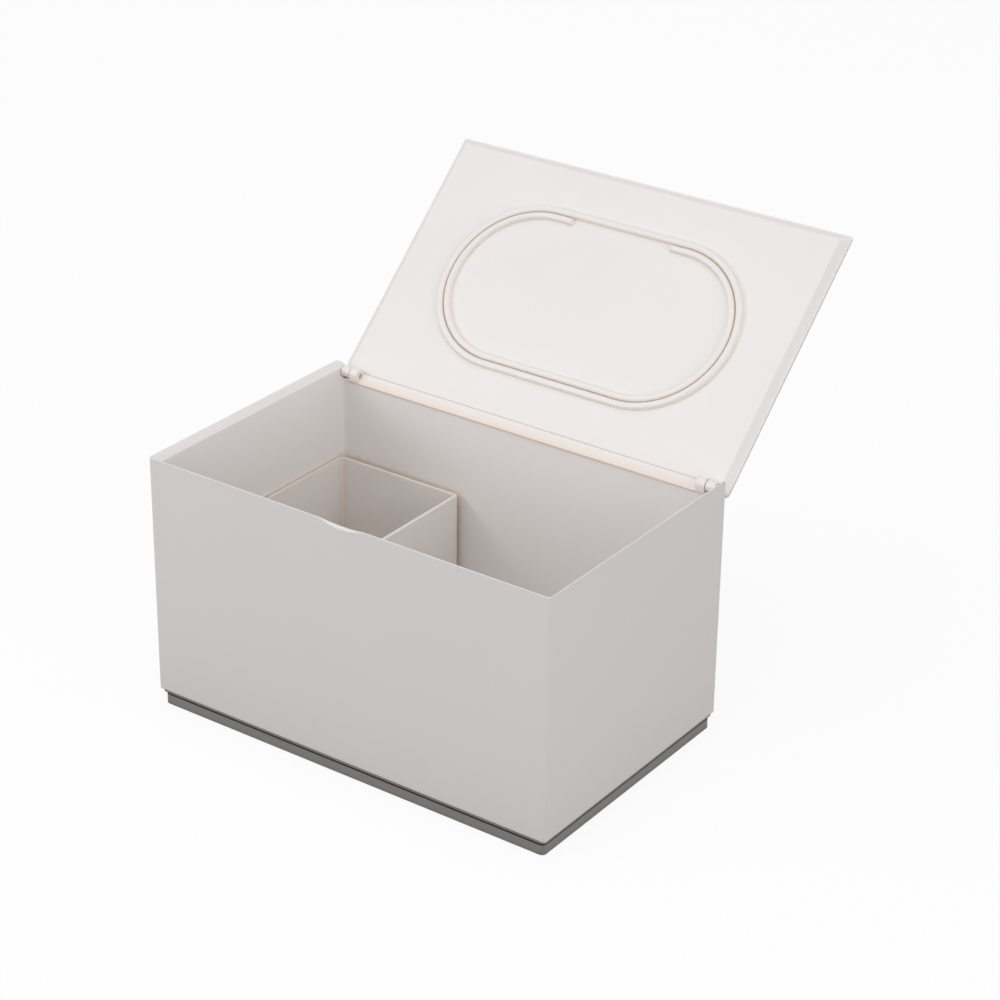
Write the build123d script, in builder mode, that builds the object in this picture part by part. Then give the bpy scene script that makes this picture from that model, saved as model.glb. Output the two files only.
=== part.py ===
"""Cotton box with a hinged lid, a lift-out tray and a grey plinth.

Millimetres, +Z up, +X to the right along the front, +Y to the back. The origin is in the middle
of the plinth's underside, which the rubber pads hold just off the table. The lid is drawn open,
leaning back on its stop.
"""
import os
from math import cos, hypot, radians, sin

from build123d import *

# Box shell
box_width = 190.0
box_depth = 119.5
shell_height = 103.5
wall = 3.0
floor_thickness = 3.0
front_corner_radius = 1.2
rear_corner_radius = 2.0
cavity_corner_radius = 2.0
floor_fillet = 1.5
bottom_edge_radius = 0.6

# Rim
rim_land = 0.5
rim_corner_radius = 1.0
back_wall_drop = 3.8
back_wall_land = 0.4
bead_radius = 0.75
bead_end_gap = 2.5
shoulder_radius = 3.5
scoop_width = 21.0
scoop_depth = 2.0

# Plinth
flange_height = 1.3
flange_inset = 0.8
groove_height = 1.4
groove_inset = 4.0
slab_height = 4.2
slab_inset = 1.6
slab_corner_radius = 2.0
underside_recess = 1.6
underside_lip = 4.0
underside_rib = 1.6
peg_radius = 2.5
peg_length = 3.2
peg_inset = 26.0
peg_fit = 0.02
peg_end_gap = 0.3

# Rubber pads
pad_radius = 6.0
pad_thickness = 1.5
pad_stand_out = 0.5
pad_inset = 14.0
pad_fit = 0.05
pad_boss_wall = 1.4

# Hinge
hinge_setback = 1.8
hinge_drop = 4.2
open_angle = 137.4
pin_radius = 1.0
pin_wall_depth = 2.0
pin_press_fit = 0.02
pin_running_fit = 0.08
pin_end_chamfer = 0.2
pin_end_gap = 0.2
ear_width = 4.0
ear_radius = 2.5
knuckle_width = 4.2
knuckle_radius = 2.3
hinge_side_gap = 0.3
swing_gap = 0.35

# Lid
lid_edge_height = 1.3
lid_seat_gap = 0.3
lid_rear_setback = 0.6
lid_bevel = 2.75
lid_edge_fillet = 0.4
seal_rib_straight = 64.0
seal_rib_radius = 38.2
seal_rib_width = 2.7
seal_rib_groove = 0.6
seal_rib_inner_width = 2.6
seal_rib_height = 2.0
seal_rib_chamfer = 0.5
seal_rib_gap = 48.0

# Tray
tray_width = 62.0
tray_height = 58.0
tray_wall = 1.6
tray_floor = 1.6
tray_corner_radius = 2.0
tray_inner_fillet = 1.0
tray_side_gap = 0.4
tray_lift_gap = 0.35
tray_floor_gap = 0.05

# Levels, from the plinth's underside up
groove_top = slab_height + groove_height
shell_bottom = groove_top + flange_height
floor_top = shell_bottom + floor_thickness
rim_top = shell_bottom + shell_height
back_wall_top = rim_top - back_wall_drop
rim_bevel = wall - rim_land
back_wall_bevel = wall - back_wall_land

# Cavity
cavity_width = box_width - 2 * wall
cavity_depth = box_depth - 2 * wall
cavity_back = cavity_depth / 2
through = box_depth
tray_bottom_radius = floor_fillet + tray_side_gap

# Hinge places
hinge_y = box_depth / 2 - hinge_setback
hinge_z = rim_top - hinge_drop
knuckle_outer = cavity_width / 2 - hinge_side_gap
knuckle_inner = knuckle_outer - knuckle_width
ear_outer = knuckle_inner - hinge_side_gap
ear_inner = ear_outer - ear_width
side_names = {"left": -1, "right": 1}

# Lid levels and outline, measured from the hinge axis in the lid's own frame
lid_edge_bottom = hinge_drop + lid_seat_gap
lid_underside = lid_edge_bottom - lid_bevel
lid_front = -box_depth / 2 - hinge_y
lid_rear = hinge_setback - lid_rear_setback
lid_length = lid_rear - lid_front
lid_middle = (lid_rear + lid_front) / 2
box_middle = -hinge_y
arm_rear = lid_rear - rim_land
arm_reach = hypot(arm_rear, lid_edge_bottom)


def across(x):
    """Plane square to the hinge axis at x, with the box's back to its right."""
    return Plane(origin=(x, hinge_y, hinge_z), x_dir=(0, 1, 0), z_dir=(1, 0, 0))


lid_normal = (0, sin(radians(open_angle)), cos(radians(open_angle)))
lid_backward = (0, cos(radians(open_angle)), -sin(radians(open_angle)))
lid_plane = Plane(origin=(0, hinge_y, hinge_z), x_dir=(1, 0, 0), z_dir=lid_normal)


def across_lid(x):
    """Plane square to the hinge axis at x, turned with the open lid."""
    return Plane(origin=(x, hinge_y, hinge_z), x_dir=lid_backward, z_dir=(1, 0, 0))


def save(part, name):
    """Label one finished piece and write it under its own name."""
    part.label = name
    export_step(part, f"parts/{name}.step")


os.makedirs("parts", exist_ok=True)

corner_signs = [(-1, -1), (1, -1), (-1, 1), (1, 1)]
pad_places = [
    (sx * (box_width / 2 - pad_inset), sy * (box_depth / 2 - pad_inset)) for sx, sy in corner_signs
]
peg_places = [
    (sx * (box_width / 2 - peg_inset), sy * (box_depth / 2 - peg_inset)) for sx, sy in corner_signs
]

# The box: walls and floor of one thickness, opened from above
with BuildPart() as box_shell:
    with BuildSketch(Plane.XY.offset(shell_bottom)) as shell_outline:
        Rectangle(box_width, box_depth)
        fillet(shell_outline.vertices().sort_by(Axis.Y)[:2], radius=front_corner_radius)
        fillet(shell_outline.vertices().sort_by(Axis.Y)[-2:], radius=rear_corner_radius)
    extrude(amount=shell_height)
    fillet(box_shell.faces().sort_by(Axis.Z)[0].edges(), radius=bottom_edge_radius)
    with BuildSketch(Plane.XY.offset(floor_top)):
        RectangleRounded(cavity_width, cavity_depth, cavity_corner_radius)
    extrude(amount=shell_height, mode=Mode.SUBTRACT)
    cavity_floor = box_shell.faces().filter_by_position(Axis.Z, floor_top - 0.01, floor_top + 0.01)
    fillet(cavity_floor.edges(), radius=floor_fillet)

    # The rim leans inwards at 45 degrees behind a narrow land. The bevel of the side walls
    # runs out through the back
    with BuildSketch(Plane.XY.offset(rim_top - rim_bevel)):
        with Locations((0, through / 2)):
            RectangleRounded(cavity_width, cavity_depth + through, cavity_corner_radius)
    with BuildSketch(Plane.XY.offset(rim_top)):
        with Locations((0, through / 2)):
            RectangleRounded(
                cavity_width + 2 * rim_bevel,
                cavity_depth + through + 2 * rim_bevel,
                rim_corner_radius,
            )
    loft(ruled=True, mode=Mode.SUBTRACT)

    # The back wall stops short of the side walls, and its inner edge has the same bevel
    with BuildSketch(Plane.XY.offset(back_wall_top)):
        with Locations((0, cavity_back)):
            Rectangle(cavity_width, 4 * wall)
    extrude(amount=shell_height, mode=Mode.SUBTRACT)
    with BuildSketch(across(-cavity_width / 2)):
        with BuildLine():
            Polyline(
                (cavity_back - hinge_y, back_wall_top - back_wall_bevel - hinge_z),
                (cavity_back - hinge_y + back_wall_bevel, back_wall_top - hinge_z),
                (cavity_back - hinge_y, back_wall_top - hinge_z),
                close=True,
            )
        make_face()
    extrude(amount=cavity_width, mode=Mode.SUBTRACT)

    # The side walls' rear shoulders are rounded, clear of the turning lid
    with BuildSketch(across(-box_width / 2)):
        with Locations((hinge_setback - shoulder_radius / 2, hinge_drop - shoulder_radius / 2)):
            Rectangle(shoulder_radius, shoulder_radius)
        with Locations((hinge_setback - shoulder_radius, hinge_drop - shoulder_radius)):
            Circle(shoulder_radius, mode=Mode.SUBTRACT)
    extrude(amount=box_width, mode=Mode.SUBTRACT)

    # A bead runs along the back wall below its bevel
    bead_drop = hinge_z - back_wall_top + back_wall_bevel + bead_radius
    with BuildSketch(across(bead_end_gap - cavity_width / 2)):
        with Locations((cavity_back - hinge_y, -bead_drop)):
            Circle(bead_radius)
    extrude(amount=cavity_width - 2 * bead_end_gap)

    for side in side_names.values():
        # Room in the back wall for the lid's knuckle and arm to turn
        with BuildSketch(across(side * ear_outer)):
            Circle(arm_reach + swing_gap)
            with PolarLocations(knuckle_radius + swing_gap, 1, start_angle=-open_angle):
                Rectangle(
                    arm_reach,
                    3 * arm_reach,
                    align=(Align.MIN, Align.CENTER),
                    mode=Mode.SUBTRACT,
                )
        extrude(amount=side * (cavity_width / 2 - ear_outer), mode=Mode.SUBTRACT)
        # The ear that holds the inner end of the pin
        with BuildSketch(across(side * ear_inner)):
            Circle(ear_radius)
            with Locations((0, -ear_radius / 2)):
                Rectangle(2 * ear_radius, ear_radius)
            with Locations((hinge_setback + ear_radius, 0)):
                Rectangle(2 * ear_radius, 4 * ear_radius, mode=Mode.SUBTRACT)
        extrude(amount=side * ear_width)
        # The pin's hole goes through the ear and stops inside the side wall
        with BuildSketch(across(side * (ear_inner - hinge_side_gap))):
            Circle(pin_radius + pin_press_fit)
        extrude(
            amount=side * (cavity_width / 2 + pin_wall_depth - ear_inner + hinge_side_gap),
            mode=Mode.SUBTRACT,
        )

    # Finger scoop in the middle of the front rim
    scoop_radius = ((scoop_width / 2) ** 2 + scoop_depth**2) / (2 * scoop_depth)
    with BuildSketch(Plane(origin=(0, -box_depth / 2, rim_top), x_dir=(1, 0, 0), z_dir=(0, -1, 0))):
        with Locations((0, scoop_radius - scoop_depth)):
            Circle(scoop_radius)
    extrude(amount=-2 * wall, mode=Mode.SUBTRACT)

    # Pegs under the floor that hold the plinth
    with BuildSketch(Plane.XY.offset(shell_bottom)):
        with Locations(*peg_places):
            Circle(peg_radius)
    extrude(amount=-peg_length)
save(box_shell.part, "box_shell")

# The plinth: foot slab, groove and flange, with a ribbed recess underneath
with BuildPart() as base_plate:
    with BuildSketch(Plane.XY):
        RectangleRounded(
            box_width - 2 * slab_inset, box_depth - 2 * slab_inset, slab_corner_radius
        )
    extrude(amount=slab_height)
    with BuildSketch(Plane.XY.offset(slab_height)):
        RectangleRounded(
            box_width - 2 * groove_inset, box_depth - 2 * groove_inset, slab_corner_radius
        )
    extrude(amount=groove_height)
    with BuildSketch(Plane.XY.offset(groove_top)):
        RectangleRounded(
            box_width - 2 * flange_inset, box_depth - 2 * flange_inset, slab_corner_radius
        )
    extrude(amount=flange_height)
    recess_width = box_width - 2 * slab_inset - 2 * underside_lip
    recess_depth = box_depth - 2 * slab_inset - 2 * underside_lip
    with BuildSketch(Plane.XY):
        RectangleRounded(recess_width, recess_depth, slab_corner_radius)
        Rectangle(underside_rib, recess_depth, mode=Mode.SUBTRACT)
        Rectangle(recess_width, underside_rib, mode=Mode.SUBTRACT)
        with Locations(*pad_places):
            Circle(pad_radius + pad_fit + pad_boss_wall, mode=Mode.SUBTRACT)
    extrude(amount=underside_recess, mode=Mode.SUBTRACT)
    with BuildSketch(Plane.XY):
        with Locations(*pad_places):
            Circle(pad_radius + pad_fit)
    extrude(amount=pad_thickness - pad_stand_out, mode=Mode.SUBTRACT)
    with BuildSketch(Plane.XY.offset(shell_bottom)):
        with Locations(*peg_places):
            Circle(peg_radius + peg_fit)
    extrude(amount=-(peg_length + peg_end_gap), mode=Mode.SUBTRACT)
save(base_plate.part, "base_plate")

# Four rubber pads pressed into the underside
pad_names = ["front_left", "front_right", "rear_left", "rear_right"]
for pad_name, pad_place in zip(pad_names, pad_places):
    with BuildPart() as anti_slip_pad:
        with BuildSketch(Plane.XY.offset(-pad_stand_out)):
            with Locations(pad_place):
                Circle(pad_radius)
        extrude(amount=pad_thickness)
    save(anti_slip_pad.part, f"anti_slip_pad_{pad_name}")

# The lid, drawn on its own open plane
with BuildPart() as lid:
    with BuildSketch(lid_plane.offset(lid_edge_bottom)) as lid_outline:
        with Locations((0, lid_middle)):
            Rectangle(box_width, lid_length)
        fillet(lid_outline.vertices().sort_by(Axis.Y)[:2], radius=front_corner_radius)
        fillet(lid_outline.vertices().sort_by(Axis.Y)[-2:], radius=rear_corner_radius)
    extrude(amount=lid_edge_height)
    fillet(lid.faces().sort_by(Axis((0, 0, 0), lid_normal))[-1].edges(), radius=lid_edge_fillet)

    # The bevel that sinks into the rim
    with BuildSketch(lid_plane.offset(lid_edge_bottom)):
        with Locations((0, lid_middle)):
            RectangleRounded(
                box_width - 2 * rim_land, lid_length - 2 * rim_land, rim_corner_radius
            )
    with BuildSketch(lid_plane.offset(lid_underside)):
        with Locations((0, lid_middle)):
            RectangleRounded(
                box_width - 2 * rim_land - 2 * lid_bevel,
                lid_length - 2 * rim_land - 2 * lid_bevel,
                cavity_corner_radius,
            )
    loft(ruled=True)

    # Two stadium ribs on the underside; the inner one is open along the front
    inner_rib_radius = seal_rib_radius - seal_rib_width - seal_rib_groove
    with BuildSketch(lid_plane.offset(lid_underside)):
        with Locations((0, box_middle)):
            SlotCenterToCenter(seal_rib_straight, 2 * seal_rib_radius)
            SlotCenterToCenter(
                seal_rib_straight, 2 * (seal_rib_radius - seal_rib_width), mode=Mode.SUBTRACT
            )
            SlotCenterToCenter(seal_rib_straight, 2 * inner_rib_radius)
            SlotCenterToCenter(
                seal_rib_straight,
                2 * (inner_rib_radius - seal_rib_inner_width),
                mode=Mode.SUBTRACT,
            )
        with Locations((0, box_middle - inner_rib_radius + seal_rib_inner_width / 2)):
            Rectangle(seal_rib_gap, seal_rib_inner_width + seal_rib_groove, mode=Mode.SUBTRACT)
    extrude(amount=-seal_rib_height)
    rib_tops = lid.faces().sort_by(Axis((0, 0, 0), lid_normal))[:2]
    chamfer(rib_tops.edges(), length=seal_rib_chamfer)

    # At each end a knuckle on an arm takes the outer end of the pin
    for side in side_names.values():
        with BuildSketch(across_lid(side * knuckle_inner)):
            Circle(knuckle_radius)
            with BuildLine():
                Polyline(
                    (-knuckle_radius, 0),
                    (arm_rear - lid_bevel, lid_underside),
                    (arm_rear, lid_edge_bottom),
                    (knuckle_radius, 0),
                    close=True,
                )
            make_face()
        extrude(amount=side * knuckle_width)
        with BuildSketch(across_lid(side * knuckle_inner)):
            Circle(pin_radius + pin_running_fit)
        extrude(amount=side * knuckle_width, mode=Mode.SUBTRACT)
        # The underside is hollowed round the shell's ear
        with BuildSketch(across_lid(side * (ear_inner - hinge_side_gap))):
            Circle(ear_radius + swing_gap)
        extrude(amount=side * (ear_width + 2 * hinge_side_gap), mode=Mode.SUBTRACT)
save(lid.part, "lid")

# The two hinge pins
for side_name, side in side_names.items():
    with BuildPart() as hinge_pin:
        with BuildSketch(across(side * ear_inner)):
            Circle(pin_radius)
        extrude(amount=side * (cavity_width / 2 + pin_wall_depth - pin_end_gap - ear_inner))
        chamfer(hinge_pin.edges().filter_by(GeomType.CIRCLE), length=pin_end_chamfer)
    save(hinge_pin.part, f"hinge_pin_{side_name}")

# The tray that fills the left of the box
with BuildPart() as cotton_tray:
    tray_x = -cavity_width / 2 + tray_side_gap + tray_width / 2
    tray_front = -cavity_back + tray_side_gap
    tray_rear = hinge_y - ear_radius - tray_lift_gap
    tray_depth = tray_rear - tray_front
    tray_place = (tray_x, (tray_front + tray_rear) / 2)
    with BuildSketch(Plane.XY.offset(floor_top + tray_floor_gap)):
        with Locations(tray_place):
            RectangleRounded(tray_width, tray_depth, tray_corner_radius)
    extrude(amount=tray_height)
    fillet(cotton_tray.faces().sort_by(Axis.Z)[0].edges(), radius=tray_bottom_radius)
    with BuildSketch(Plane.XY.offset(floor_top + tray_floor_gap + tray_floor)):
        with Locations(tray_place):
            RectangleRounded(
                tray_width - 2 * tray_wall, tray_depth - 2 * tray_wall, tray_inner_fillet
            )
    extrude(amount=tray_height, mode=Mode.SUBTRACT)
save(cotton_tray.part, "cotton_tray")
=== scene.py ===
import math

import bpy
from mathutils import Matrix, Vector


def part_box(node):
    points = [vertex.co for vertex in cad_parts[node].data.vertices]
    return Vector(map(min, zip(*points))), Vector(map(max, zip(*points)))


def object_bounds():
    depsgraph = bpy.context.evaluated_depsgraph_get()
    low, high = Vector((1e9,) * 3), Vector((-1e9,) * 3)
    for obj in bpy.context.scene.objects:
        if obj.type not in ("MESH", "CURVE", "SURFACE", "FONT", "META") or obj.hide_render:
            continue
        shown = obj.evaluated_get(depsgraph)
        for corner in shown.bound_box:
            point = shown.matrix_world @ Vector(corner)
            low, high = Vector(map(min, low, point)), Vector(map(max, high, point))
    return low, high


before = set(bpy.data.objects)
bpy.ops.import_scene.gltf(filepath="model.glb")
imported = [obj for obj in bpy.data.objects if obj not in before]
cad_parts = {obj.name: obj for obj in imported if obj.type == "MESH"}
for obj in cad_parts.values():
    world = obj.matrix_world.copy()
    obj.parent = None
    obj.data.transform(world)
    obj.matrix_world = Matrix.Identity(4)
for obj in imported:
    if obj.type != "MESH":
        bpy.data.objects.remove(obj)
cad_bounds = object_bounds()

MM = 0.001

# Camera, from the straight edges of the box in the photograph, which is 1000 pixels wide
IMAGE_WIDTH = 1000
FOCAL_PIXELS = 2853.2
CAMERA_AZIMUTH = 35.3604
CAMERA_ELEVATION = 26.7187
CAMERA_ROLL = 0.7587
CAMERA_SIDEWAYS = 25.73 * MM
CAMERA_RISE = 80.20 * MM
CAMERA_DISTANCE = 1148.62 * MM
SENSOR_MM = 36.0

# ABS and polystyrene bend light a little more than glass does
PLASTIC_IOR = 1.53
# The roughness drifts this far either way with the flow marks
GLOSS_DRIFT = 0.04
# Share of open space round a point at which it takes all of a groove's painted shade, a warm tint
# that stands in for shade and bounce light there, and none
GROOVE_SHARE = 0.25
OPEN_SHARE = 0.85

# Light comes through the thin top of the back wall, round a bead this far below the rim and
# this far in front of the wall's rear face. The rear face itself stays white: the amber starts
# under the clear skin and is whole under the outer skin
BEAD_BELOW_RIM = 7.15 * MM
BEAD_BEFORE_BACK = 3.0 * MM
AMBER_BELOW_BEAD = 1.4 * MM
AMBER_ABOVE_BEAD = 2.6 * MM
AMBER_SIDE_GAP = 4.0 * MM
OUTER_SKIN = 0.35 * MM
CLEAR_SKIN = OUTER_SKIN / 5
AMBER_SHARE = 0.5
AMBER = "#F0CDB0"

# The scratches that the die leaves along a pin, spaced wider than real ones so that they show,
# and the steel's roughness between them and in them
SCRATCH_SPACING = 0.15 * MM
SCRATCH_DEPTH = 0.004 * MM
SCRATCH_STRETCH = 20
SMOOTH_STEEL = 0.2
SCRATCHED_STEEL = 0.42

# Near the plinth the floor's bounce is painted dark, as painted shade on the lower part of the
# object.
# This painted shade is gone at the first distance below from the plinth and starts to fade at the
# second
FLOOR_SIZE = 8.0
FOOT_SHADE_EDGE = 60 * MM
FOOT_SHADE_FADE = FOOT_SHADE_EDGE / 4
# The strength of the plain light from all round, where full white is 1
AMBIENT = 0.52
WHITE = "#FFFFFF"

# The camera was measured from the shell's lower edge, which stands on the plinth
plinth_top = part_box("base_plate")[1].z
# The shell's right, rear and upper limits
shell_side, shell_back, shell_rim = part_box("box_shell")[1]


def linear(hex_colour):
    """Colour for a shader from an sRGB hex value."""
    channels = (int(hex_colour[i : i + 2], 16) / 255 for i in (1, 3, 5))
    curve = (c / 12.92 if c <= 0.04045 else ((c + 0.055) / 1.055) ** 2.4 for c in channels)
    return (*curve, 1.0)


def add(material, kind, inputs=None, **settings):
    """Adds a node to a material or to the world. inputs holds its sockets' values, or the
    sockets that feed them."""
    node = material.node_tree.nodes.new(kind)
    for name, value in settings.items():
        setattr(node, name, value)
    for name, value in (inputs or {}).items():
        if isinstance(value, bpy.types.NodeSocket):
            material.node_tree.links.new(value, node.inputs[name])
        else:
            node.inputs[name].default_value = value
    return node


def blank(name):
    """An empty material with its output node."""
    material = bpy.data.materials.new(name)
    material.use_nodes = True
    material.node_tree.nodes.clear()
    return material, add(material, "ShaderNodeOutputMaterial")


def lit_through(material, place, colour, bead_y, bead_z):
    """Mixes amber into a colour along the thin top of the back wall. It is strongest just under
    the bead, fades upwards and stops short of the outer faces. The share of amber is the
    product of six straight ramps, each from the place of none to the place of all of it."""
    axes = add(material, "ShaderNodeSeparateXYZ", {"Vector": place})
    ramps = (
        ("Z", bead_z - AMBER_BELOW_BEAD, bead_z - AMBER_BELOW_BEAD / 2),
        ("Z", bead_z + AMBER_ABOVE_BEAD, bead_z - AMBER_BELOW_BEAD / 2),
        ("Y", bead_y - 2 * AMBER_BELOW_BEAD, bead_y - AMBER_BELOW_BEAD),
        ("Y", shell_back - CLEAR_SKIN, shell_back - OUTER_SKIN),
        ("X", shell_side - AMBER_SIDE_GAP, shell_side - 2 * AMBER_SIDE_GAP),
        ("X", AMBER_SIDE_GAP - shell_side, 2 * AMBER_SIDE_GAP - shell_side),
    )
    share = AMBER_SHARE
    for axis, none, full in ramps:
        ramp = add(material, "ShaderNodeMapRange",
                   {"Value": axes.outputs[axis], "From Min": none, "From Max": full})
        share = add(material, "ShaderNodeMath", {0: ramp.outputs["Result"], 1: share},
                    operation="MULTIPLY").outputs["Value"]
    return add(material, "ShaderNodeMix", {"Factor": share, 6: colour, 7: linear(AMBER)},
               data_type="RGBA")


def moulded_plastic(name, body, pale, painted_groove_shade, roughness, cloud_mm, grain_mm, grain_depth_mm,
                    edge_mm, crevice_mm, amber_bead=None):
    """Injection-moulded plastic. A cloud of slow flow marks shifts the body colour to the pale
    one, corners and narrow gaps take painted shade, a warm tint that stands in for the shade and
    bounce light in them, a fine grain lifts the surface, and edges are rounded as the mould leaves
    them. amber_bead is the y and z of a bead along a thin edge that light shines through."""
    material, output = blank(name)
    place = add(material, "ShaderNodeTexCoord").outputs["Object"]
    cloud = add(material, "ShaderNodeTexNoise",
                {"Vector": place, "Scale": 1 / (cloud_mm * MM), "Detail": 2.0})
    tone = add(material, "ShaderNodeMix",
               {"Factor": cloud.outputs["Fac"], 6: linear(body), 7: linear(pale)},
               data_type="RGBA")
    # Painted shade: where ambient occlusion finds a corner or narrow gap, the colour turns to the
    # warm tint that stands in for the shade and bounce light there
    crevice = add(material, "ShaderNodeAmbientOcclusion", {"Distance": crevice_mm * MM}, samples=8)
    painted_shade_share = add(material, "ShaderNodeMapRange",
                {"Value": crevice.outputs["AO"], "From Min": GROOVE_SHARE,
                 "From Max": OPEN_SHARE, "To Min": 1.0, "To Max": 0.0})
    colour = add(material, "ShaderNodeMix",
                 {"Factor": painted_shade_share.outputs["Result"], 6: tone.outputs[2], 7: linear(painted_groove_shade)},
                 data_type="RGBA")
    if amber_bead:
        colour = lit_through(material, place, colour.outputs[2], *amber_bead)
    gloss = add(material, "ShaderNodeMapRange",
                {"Value": cloud.outputs["Fac"], "To Min": roughness - GLOSS_DRIFT,
                 "To Max": roughness + GLOSS_DRIFT})
    edges = add(material, "ShaderNodeBevel", {"Radius": edge_mm * MM}, samples=6)
    grain = add(material, "ShaderNodeTexNoise",
                {"Vector": place, "Scale": 1 / (grain_mm * MM), "Detail": 3.0})
    surface = add(material, "ShaderNodeBump",
                  {"Height": grain.outputs["Fac"], "Distance": grain_depth_mm * MM,
                   "Normal": edges.outputs["Normal"]})
    shader = add(material, "ShaderNodeBsdfPrincipled",
                 {"Base Color": colour.outputs[2], "Roughness": gloss.outputs["Result"],
                  "IOR": PLASTIC_IOR, "Normal": surface.outputs["Normal"]})
    material.node_tree.links.new(shader.outputs["BSDF"], output.inputs["Surface"])
    return material


def drawn_steel(name):
    """Stainless wire drawn through a die: fine scratches run along its length."""
    material, output = blank(name)
    place = add(material, "ShaderNodeTexCoord").outputs["Object"]
    stretched = add(material, "ShaderNodeMapping",
                    {"Vector": place, "Scale": (1 / SCRATCH_STRETCH, 1.0, 1.0)})
    scratches = add(material, "ShaderNodeTexNoise",
                    {"Vector": stretched.outputs["Vector"], "Scale": 1 / SCRATCH_SPACING,
                     "Detail": 3.0})
    gloss = add(material, "ShaderNodeMapRange",
                {"Value": scratches.outputs["Fac"], "To Min": SMOOTH_STEEL,
                 "To Max": SCRATCHED_STEEL})
    surface = add(material, "ShaderNodeBump",
                  {"Height": scratches.outputs["Fac"], "Distance": SCRATCH_DEPTH})
    shader = add(material, "ShaderNodeBsdfPrincipled",
                 {"Base Color": linear("#C8C7C4"), "Metallic": 1.0,
                  "Roughness": gloss.outputs["Result"], "Normal": surface.outputs["Normal"]})
    material.node_tree.links.new(shader.outputs["BSDF"], output.inputs["Surface"])
    return material


def finish_node(node, material):
    """Gives a CAD node one finish all over."""
    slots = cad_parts[node].data.materials
    slots.clear()
    slots.append(material)


# Moulded ABS from a fine-stoned mould: a satin white with no sharp reflection, a faint drift in
# tone over a few centimetres, and painted warm shade in its narrow grooves. The real grain is
# about
# 0.1 mm and is drawn coarser so that it shows
satin_white = dict(
    body="#EFEBE9", pale="#F1EEED", painted_groove_shade="#FBEEE1", roughness=0.42, cloud_mm=45, grain_mm=0.9,
    grain_depth_mm=0.003, edge_mm=0.5, crevice_mm=4)
satin_white_abs = moulded_plastic("satin_white_abs", **satin_white)
# The same plastic in the shell, whose back wall glows amber under its bead
glowing_white_abs = moulded_plastic(
    "glowing_white_abs", **satin_white,
    amber_bead=(shell_back - BEAD_BEFORE_BACK, shell_rim - BEAD_BELOW_RIM))
# Moulded polystyrene, thinner and a touch glossier and creamier than the box around it, with
# painted shade, warm and darker, in its corners and gaps
white_polystyrene = moulded_plastic(
    "white_polystyrene", body="#ECE6E1", pale="#EEEAE6", painted_groove_shade="#E4D0C1", roughness=0.36,
    cloud_mm=40, grain_mm=0.9, grain_depth_mm=0.003, edge_mm=0.35, crevice_mm=5)
# Moulded grey ABS with a spark-eroded grain of about 0.3 mm, drawn coarser: matt and dark, with
# painted shade, darker and a little brown, in the groove
grained_grey_abs = moulded_plastic(
    "grained_grey_abs", body="#8A8884", pale="#92908C", painted_groove_shade="#5C534C", roughness=0.55,
    cloud_mm=30, grain_mm=0.7, grain_depth_mm=0.03, edge_mm=0.4, crevice_mm=4)
# Moulded silicone rubber: dull grey, soft at its edges, with painted darker shade in its corners
grey_silicone = moulded_plastic(
    "grey_silicone", body="#7B7B79", pale="#838381", painted_groove_shade="#5A5650", roughness=0.7,
    cloud_mm=12, grain_mm=0.5, grain_depth_mm=0.03, edge_mm=0.3, crevice_mm=3)
# Drawn stainless wire: a bright line along the pin, broken by scratches
bright_steel = drawn_steel("drawn_stainless_steel")

finish_node("box_shell", glowing_white_abs)
finish_node("lid", satin_white_abs)
finish_node("cotton_tray", white_polystyrene)
finish_node("base_plate", grained_grey_abs)
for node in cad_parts:
    if node.startswith("anti_slip_pad"):
        finish_node(node, grey_silicone)
    if node.startswith("hinge_pin"):
        finish_node(node, bright_steel)


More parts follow.
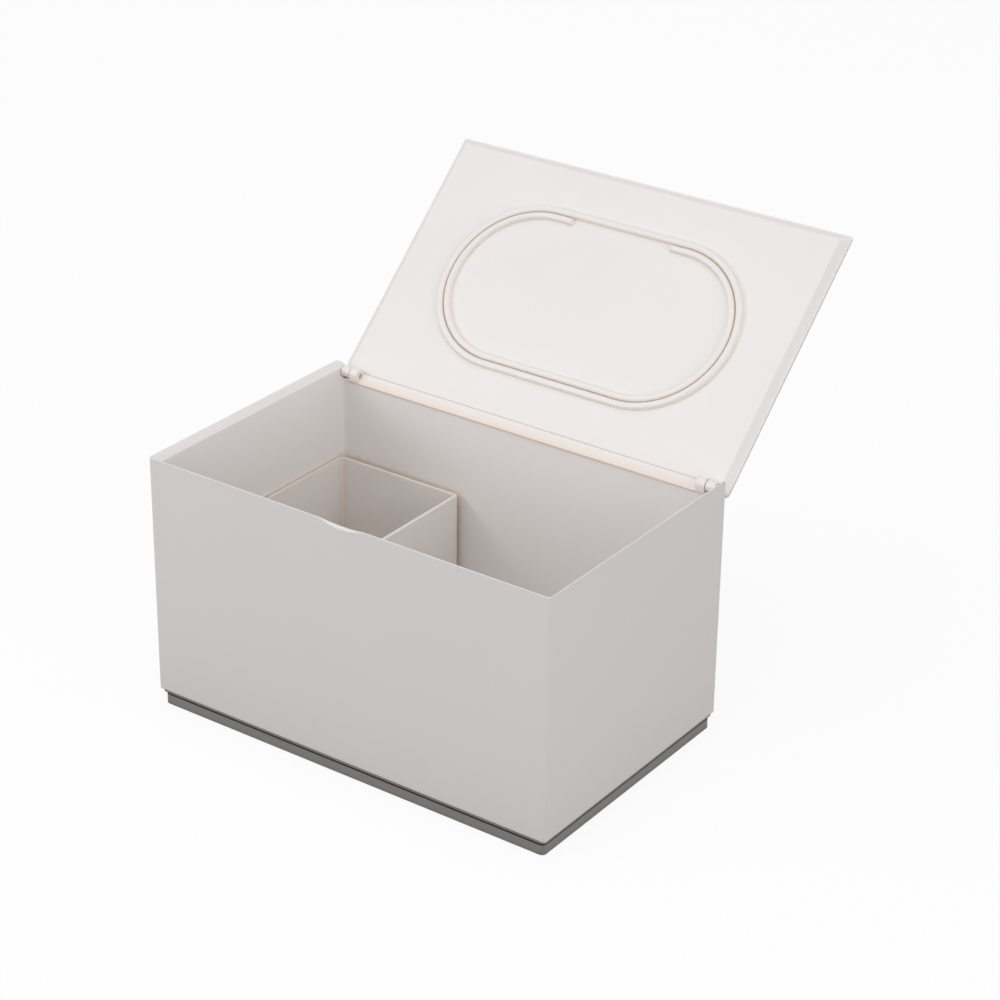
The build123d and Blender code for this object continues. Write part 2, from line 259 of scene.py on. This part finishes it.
def white_ground(name, foot_corner, seen, bounce, painted_foot_shade):
    """The floor's finish. The camera and reflections see nearly pure white with the object's soft
    shadow: seen is the share that glows evenly, and the rest takes the shadow. The object gets a
    plain grey bounce, which is painted dark round a foot that reaches foot_corner, as painted
    shade on the object's lower part."""
    material, output = blank(name)
    rays = add(material, "ShaderNodeLightPath")
    place = add(material, "ShaderNodeTexCoord").outputs["Object"]
    sides = add(material, "ShaderNodeVectorMath", {0: place}, operation="ABSOLUTE")
    past_foot = add(material, "ShaderNodeVectorMath",
                    {0: sides.outputs["Vector"], 1: (*foot_corner, 1.0)}, operation="SUBTRACT")
    outside = add(material, "ShaderNodeVectorMath",
                  {0: past_foot.outputs["Vector"], 1: (0.0, 0.0, 0.0)}, operation="MAXIMUM")
    distance = add(material, "ShaderNodeVectorMath", {0: outside.outputs["Vector"]},
                   operation="LENGTH")
    # Painted shade: the bounce is dark near the foot and fades to the plain grey further off
    away = add(material, "ShaderNodeMapRange",
               {"Value": distance.outputs["Value"], "From Min": FOOT_SHADE_FADE,
                "From Max": FOOT_SHADE_EDGE})
    shade = add(material, "ShaderNodeMix",
                {"Factor": away.outputs["Result"], 6: linear(painted_foot_shade), 7: linear(bounce)},
                data_type="RGBA")
    ground = add(material, "ShaderNodeBsdfDiffuse", {"Color": shade.outputs[2]})
    pale = add(material, "ShaderNodeBsdfDiffuse", {"Color": linear(WHITE)})
    glow = add(material, "ShaderNodeEmission", {"Color": linear(WHITE), "Strength": 1.0})
    shown = add(material, "ShaderNodeMixShader", {"Fac": seen})
    material.node_tree.links.new(pale.outputs["BSDF"], shown.inputs[1])
    material.node_tree.links.new(glow.outputs["Emission"], shown.inputs[2])
    sight = add(material, "ShaderNodeMath",
                {0: rays.outputs["Is Camera Ray"], 1: rays.outputs["Is Glossy Ray"]},
                operation="MAXIMUM")
    whole = add(material, "ShaderNodeMixShader", {"Fac": sight.outputs["Value"]})
    material.node_tree.links.new(ground.outputs["BSDF"], whole.inputs[1])
    material.node_tree.links.new(shown.outputs["Shader"], whole.inputs[2])
    material.node_tree.links.new(whole.outputs["Shader"], output.inputs["Surface"])
    return material


# A square floor, level with the undersides of the rubber pads
foot_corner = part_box("base_plate")[1].xy
floor_mesh = bpy.data.meshes.new("floor")
half = FLOOR_SIZE / 2
table = cad_bounds[0].z
corners = [(-half, -half, table), (half, -half, table), (half, half, table), (-half, half, table)]
floor_mesh.from_pydata(corners, [], [(0, 1, 2, 3)])
floor = bpy.data.objects.new("floor", floor_mesh)
# Its bounce is painted dark round the plinth, as painted shade on the object's lower part
floor.data.materials.append(
    white_ground("white_ground", foot_corner, seen=0.9, bounce="#7E7C7C", painted_foot_shade="#1C1A1A"))
bpy.context.scene.collection.objects.link(floor)


def area_light(name, place, aim, size, watts):
    """A square soft light at place that faces aim."""
    lamp = bpy.data.lights.new(name, "AREA")
    lamp.shape = "SQUARE"
    lamp.size = size
    lamp.energy = watts
    holder = bpy.data.objects.new(name, lamp)
    holder.location = place
    holder.rotation_euler = (Vector(place) - Vector(aim)).to_track_quat("Z", "Y").to_euler()
    bpy.context.scene.collection.objects.link(holder)


middle = (cad_bounds[0] + cad_bounds[1]) / 2
area_light("overhead", place=(0.0, -0.35, 1.6), aim=middle, size=1.6, watts=5.5)
area_light("left_front", place=(-1.1, -1.3, 0.8), aim=middle, size=1.0, watts=9.5)
area_light("right", place=(1.5, -0.5, 0.55), aim=middle, size=1.0, watts=7)

# The camera and reflections see white all round, and the object is lit by the plain ambient level
world = bpy.data.worlds.new("studio")
world.use_nodes = True
rays = add(world, "ShaderNodeLightPath")
sight = add(world, "ShaderNodeMath",
            {0: rays.outputs["Is Camera Ray"], 1: rays.outputs["Is Glossy Ray"]},
            operation="MAXIMUM")
level = add(world, "ShaderNodeMapRange",
            {"Value": sight.outputs["Value"], "To Min": AMBIENT, "To Max": 1.0})
sky = world.node_tree.nodes["Background"]
sky.inputs["Color"].default_value = linear(WHITE)
world.node_tree.links.new(level.outputs["Result"], sky.inputs["Strength"])
bpy.context.scene.world = world

scene = bpy.context.scene
scene.view_settings.view_transform = "Standard"

# The camera's right, up and back directions
azimuth = math.radians(CAMERA_AZIMUTH)
elevation = math.radians(CAMERA_ELEVATION)
roll = math.radians(CAMERA_ROLL)
level_right = Vector((math.cos(azimuth), math.sin(azimuth), 0))
back = Vector((math.sin(azimuth) * math.cos(elevation), -math.cos(azimuth) * math.cos(elevation),
               math.sin(elevation)))
level_up = back.cross(level_right)
right = level_right * math.cos(roll) + level_up * math.sin(roll)
up = level_up * math.cos(roll) - level_right * math.sin(roll)
shell_foot = Vector((0, 0, plinth_top))
eye = shell_foot + right * CAMERA_SIDEWAYS + up * CAMERA_RISE + back * CAMERA_DISTANCE
camera = bpy.data.objects.new("camera", bpy.data.cameras.new("camera"))
camera.data.sensor_width = SENSOR_MM
camera.data.lens = FOCAL_PIXELS / IMAGE_WIDTH * SENSOR_MM
camera.matrix_world = Matrix.Translation(eye) @ Matrix((right, up, back)).transposed().to_4x4()
scene.collection.objects.link(camera)
scene.camera = camera
